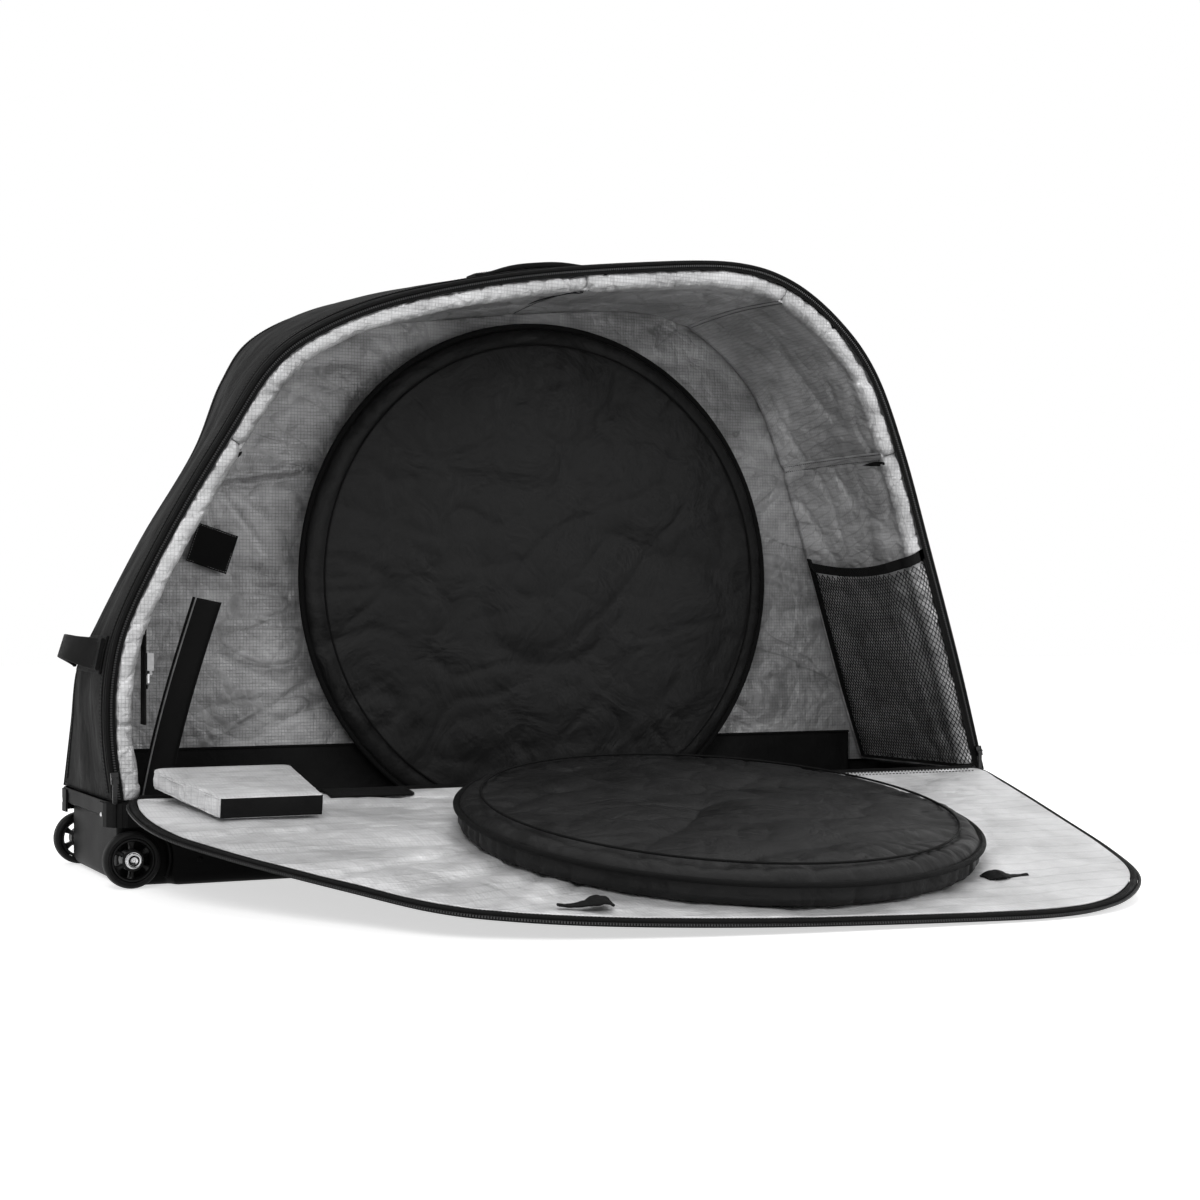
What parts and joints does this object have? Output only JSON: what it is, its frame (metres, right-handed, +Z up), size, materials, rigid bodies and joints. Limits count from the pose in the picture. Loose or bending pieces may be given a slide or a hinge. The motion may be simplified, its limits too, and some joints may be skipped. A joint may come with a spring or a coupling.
{
  "type": "soft bike travel bag",
  "caption": "Open soft-sided bicycle travel bag: moulded tub with transport wheels, padded silver-lined shell, fold-down front flap, round wheel bags, net pocket and handles.",
  "frame": {"origin": "middle of the tub's flat underside, on the floor", "axes": "+X along the bag away from its transport wheels, -Y out of the opening over the flap, +Z up"},
  "size_m": [1.4507, 1.11, 0.9211],
  "materials": {
    "shell_nylon": "woven nylon, matt",
    "trim_black": "woven webbing and tape, matt",
    "lining_silver": "silver woven sheet, slightly creased, satin",
    "tub_plastic": "moulded, satin",
    "board": "sheet, matt",
    "tyre": "matt",
    "hub_plastic": "moulded, satin",
    "steel": "polished",
    "net": "knotted net, matt"
  },
  "bodies": {
    "bag": {"base_tub": "tub_plastic", "corner_guard_front": "tub_plastic", "corner_guard_rear": "tub_plastic", "floor_pad": "lining_silver", "back_lining": "lining_silver", "wall_pad_left": "lining_silver", "wall_pad_shoulder": "lining_silver", "wall_pad_top": "lining_silver", "wall_pad_right_upper": "lining_silver", "wall_pad_right_lower": "lining_silver", "side_wall": "shell_nylon", "back_panel": "shell_nylon", "rear_wheel_bag": "shell_nylon", "rim_piping": "trim_black", "rim_zip_tape": "trim_black", "kick_band": "trim_black", "rear_bag_piping": "trim_black", "pocket_band": "trim_black", "pocket_binding": "trim_black", "frame_strap": "trim_black", "buckle_webbing": "trim_black", "bare_patch": "trim_black", "end_handle": "trim_black", "end_handle_base": "trim_black", "top_handle": "trim_black", "top_handle_base": "trim_black", "hinge_tape": "trim_black", "hinge_welt": "trim_black", "pocket_net": "net", "axle_bolt_front": "steel", "axle_bolt_rear": "steel", "guard_rivet_front": "steel", "guard_rivet_rear": "steel", "cam_buckle": "steel", "strap_ring": "steel"},
    "wheel_front": {"tyre_front": "tyre", "hub_front": "hub_plastic", "bearing_front": "steel"},
    "wheel_rear": {"tyre_rear": "tyre", "hub_rear": "hub_plastic", "bearing_rear": "steel"},
    "flap": {"flap_zip_tape": "trim_black", "flap_binding": "trim_black", "flap_skin": "shell_nylon", "flap_board": "board", "flap_lining": "lining_silver", "hook_strip": "trim_black", "strap_tab_left": "trim_black", "strap_tab_right": "trim_black", "front_wheel_bag": "shell_nylon", "front_bag_piping": "trim_black"},
    "pad": {"loose_pad": "lining_silver", "loose_pad_strip": "trim_black"},
    "slider_left": {"zip_slider_left": "steel"},
    "slider_right": {"zip_slider_right": "steel"},
    "pull_left": {"zip_pull_left": "steel"},
    "pull_right": {"zip_pull_right": "steel"},
    "lever": {"cam_lever": "steel"}
  },
  "joints": [
    {"name": "wheel_front_spin", "type": "hinge", "parent": "bag", "child": "wheel_front", "pos_m": [-0.6784, -0.16, 0.038], "axis": [0, 1, 0], "continuous": true},
    {"name": "wheel_rear_spin", "type": "hinge", "parent": "bag", "child": "wheel_rear", "pos_m": [-0.6784, 0.16, 0.038], "axis": [0, 1, 0], "continuous": true},
    {"name": "flap_fold", "type": "hinge", "parent": "bag", "child": "flap", "pos_m": [0, -0.1675, 0.118], "axis": [-1, 0, 0], "range_deg": [0, 98.37]},
    {"name": "pad_lift", "type": "slide", "parent": "flap", "child": "pad", "axis": [0, -0.1455, 0.9894], "range_m": [0, 0.045]},
    {"name": "slider_left_travel", "type": "slide", "parent": "bag", "child": "slider_left", "axis": [-0.0688, 0, 0.9976], "range_m": [0, 0.1]},
    {"name": "slider_right_travel", "type": "slide", "parent": "bag", "child": "slider_right", "axis": [-0.2622, 0, 0.965], "range_m": [0, 0.1]},
    {"name": "pull_left_swing", "type": "hinge", "parent": "slider_left", "child": "pull_left", "pos_m": [-0.70178, -0.1666, 0.1467], "axis": [-1, 0, 0], "range_deg": [0, 150]},
    {"name": "pull_right_swing", "type": "hinge", "parent": "slider_right", "child": "pull_right", "pos_m": [0.69273, -0.1666, 0.14528], "axis": [-1, 0, 0], "range_deg": [0, 150]},
    {"name": "lever_open", "type": "hinge", "parent": "bag", "child": "lever", "pos_m": [-0.64587, -0.118, 0.308], "axis": [0, -1, 0], "range_deg": [0, 95]}
  ]
}
